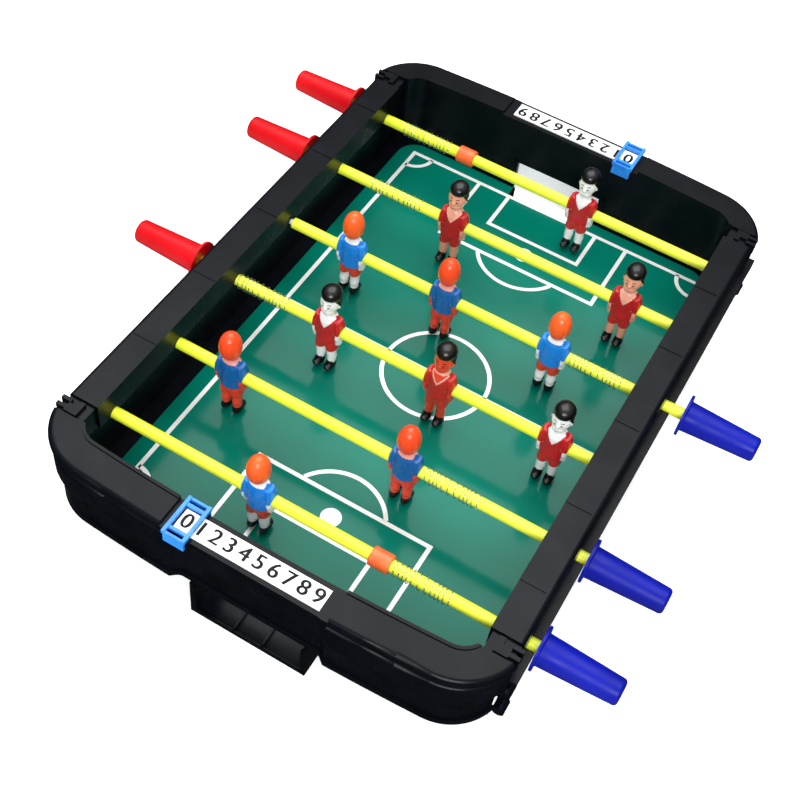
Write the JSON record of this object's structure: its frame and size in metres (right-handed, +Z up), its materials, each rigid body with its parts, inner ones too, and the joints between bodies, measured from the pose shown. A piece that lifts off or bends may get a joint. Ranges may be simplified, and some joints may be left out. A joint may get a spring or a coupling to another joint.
{
  "type": "foosball table",
  "caption": "Table-top foosball game: black frame with rounded ends, green printed board, sliding and spinning player rods, score sliders and ball trays.",
  "frame": {"origin": "on the surface the table stands on, under the centre of the playing board", "axes": "+X along the rods towards the blue handles, +Y from the near goal to the far goal, +Z up"},
  "size_m": [0.3366, 0.358, 0.089],
  "materials": {
    "black_plastic": "satin moulded ABS with fine texture",
    "board_print": "printed green board with a glossy laminate",
    "white_card": "plain white card",
    "strip_print": "white strip with printed digits",
    "dark_steel": "blackened steel",
    "slider_blue": "moulded blue plastic",
    "white_rod": "smooth white plastic",
    "spring_steel": "bare spring wire",
    "tube_yellow": "fluorescent yellow extruded plastic",
    "handle_red": "satin red plastic",
    "handle_blue": "satin blue plastic",
    "figure_red": "moulded figure with painted red shirt",
    "figure_blue": "moulded figure with painted blue shirt",
    "collar_orange": "orange plastic"
  },
  "bodies": {
    "frame": {"end_frame_near": "black_plastic", "end_frame_far": "black_plastic", "side_wall_left": "black_plastic", "side_wall_right": "black_plastic", "side_rail_left": "black_plastic", "side_rail_right": "black_plastic", "playing_board": "board_print", "goal_panel_near": "white_card", "goal_panel_far": "white_card", "ball_tray_near": "black_plastic", "ball_tray_far": "black_plastic", "score_strip_near": "strip_print", "score_strip_far": "strip_print", "corner_screws": "dark_steel", "rail_screws": "dark_steel", "tray_screws": "dark_steel"},
    "slider_near": {"score_slider_near": "slider_blue"},
    "slider_far": {"score_slider_far": "slider_blue"},
    "rod_1_inner": {"rod_1_core": "white_rod", "rod_1_spring": "spring_steel"},
    "rod_1_outer": {"rod_1_tube": "tube_yellow", "rod_1_handle": "handle_red", "rod_1_figure_1": "figure_red", "rod_1_collar": "collar_orange"},
    "rod_2_inner": {"rod_2_core": "white_rod", "rod_2_spring": "spring_steel"},
    "rod_2_outer": {"rod_2_tube": "tube_yellow", "rod_2_handle": "handle_red", "rod_2_figure_1": "figure_red", "rod_2_figure_2": "figure_red"},
    "rod_3_inner": {"rod_3_core": "white_rod", "rod_3_spring": "spring_steel"},
    "rod_3_outer": {"rod_3_tube": "tube_yellow", "rod_3_handle": "handle_blue", "rod_3_figure_1": "figure_blue", "rod_3_figure_2": "figure_blue", "rod_3_figure_3": "figure_blue"},
    "rod_4_inner": {"rod_4_core": "white_rod", "rod_4_spring": "spring_steel"},
    "rod_4_outer": {"rod_4_tube": "tube_yellow", "rod_4_handle": "handle_red", "rod_4_figure_1": "figure_red", "rod_4_figure_2": "figure_red", "rod_4_figure_3": "figure_red"},
    "rod_5_inner": {"rod_5_core": "white_rod", "rod_5_spring": "spring_steel"},
    "rod_5_outer": {"rod_5_tube": "tube_yellow", "rod_5_handle": "handle_blue", "rod_5_figure_1": "figure_blue", "rod_5_figure_2": "figure_blue"},
    "rod_6_inner": {"rod_6_core": "white_rod", "rod_6_spring": "spring_steel"},
    "rod_6_outer": {"rod_6_tube": "tube_yellow", "rod_6_handle": "handle_blue", "rod_6_figure_1": "figure_blue", "rod_6_collar": "collar_orange"}
  },
  "joints": [
    {"name": "slider_near_slide", "type": "slide", "parent": "frame", "child": "slider_near", "axis": [1, 0, 0], "range_m": [0, 0.06804]},
    {"name": "slider_far_slide", "type": "slide", "parent": "frame", "child": "slider_far", "axis": [-1, 0, 0], "range_m": [0, 0.06804]},
    {"name": "rod_1_spin", "type": "hinge", "parent": "frame", "child": "rod_1_inner", "pos_m": [0, 0.13, 0.06], "axis": [1, 0, 0], "continuous": true},
    {"name": "rod_1_slide", "type": "slide", "parent": "rod_1_inner", "child": "rod_1_outer", "axis": [-1, 0, 0], "range_m": [0, 0.041], "deforming": ["rod_1_spring"]},
    {"name": "rod_2_spin", "type": "hinge", "parent": "frame", "child": "rod_2_inner", "pos_m": [0, 0.078, 0.06], "axis": [1, 0, 0], "continuous": true},
    {"name": "rod_2_slide", "type": "slide", "parent": "rod_2_inner", "child": "rod_2_outer", "axis": [-1, 0, 0], "range_m": [0, 0.057], "deforming": ["rod_2_spring"]},
    {"name": "rod_3_spin", "type": "hinge", "parent": "frame", "child": "rod_3_inner", "pos_m": [0, 0.026, 0.06], "axis": [-1, 0, 0], "continuous": true},
    {"name": "rod_3_slide", "type": "slide", "parent": "rod_3_inner", "child": "rod_3_outer", "axis": [1, 0, 0], "range_m": [-0.0058, 0.031], "deforming": ["rod_3_spring"]},
    {"name": "rod_4_spin", "type": "hinge", "parent": "frame", "child": "rod_4_inner", "pos_m": [0, -0.026, 0.06], "axis": [1, 0, 0], "continuous": true},
    {"name": "rod_4_slide", "type": "slide", "parent": "rod_4_inner", "child": "rod_4_outer", "axis": [-1, 0, 0], "range_m": [-0.0016, 0.0384], "deforming": ["rod_4_spring"]},
    {"name": "rod_5_spin", "type": "hinge", "parent": "frame", "child": "rod_5_inner", "pos_m": [0, -0.078, 0.06], "axis": [-1, 0, 0], "continuous": true},
    {"name": "rod_5_slide", "type": "slide", "parent": "rod_5_inner", "child": "rod_5_outer", "axis": [1, 0, 0], "range_m": [0, 0.06], "deforming": ["rod_5_spring"]},
    {"name": "rod_6_spin", "type": "hinge", "parent": "frame", "child": "rod_6_inner", "pos_m": [0, -0.13, 0.06], "axis": [-1, 0, 0], "continuous": true},
    {"name": "rod_6_slide", "type": "slide", "parent": "rod_6_inner", "child": "rod_6_outer", "axis": [1, 0, 0], "range_m": [0, 0.045], "deforming": ["rod_6_spring"]}
  ]
}
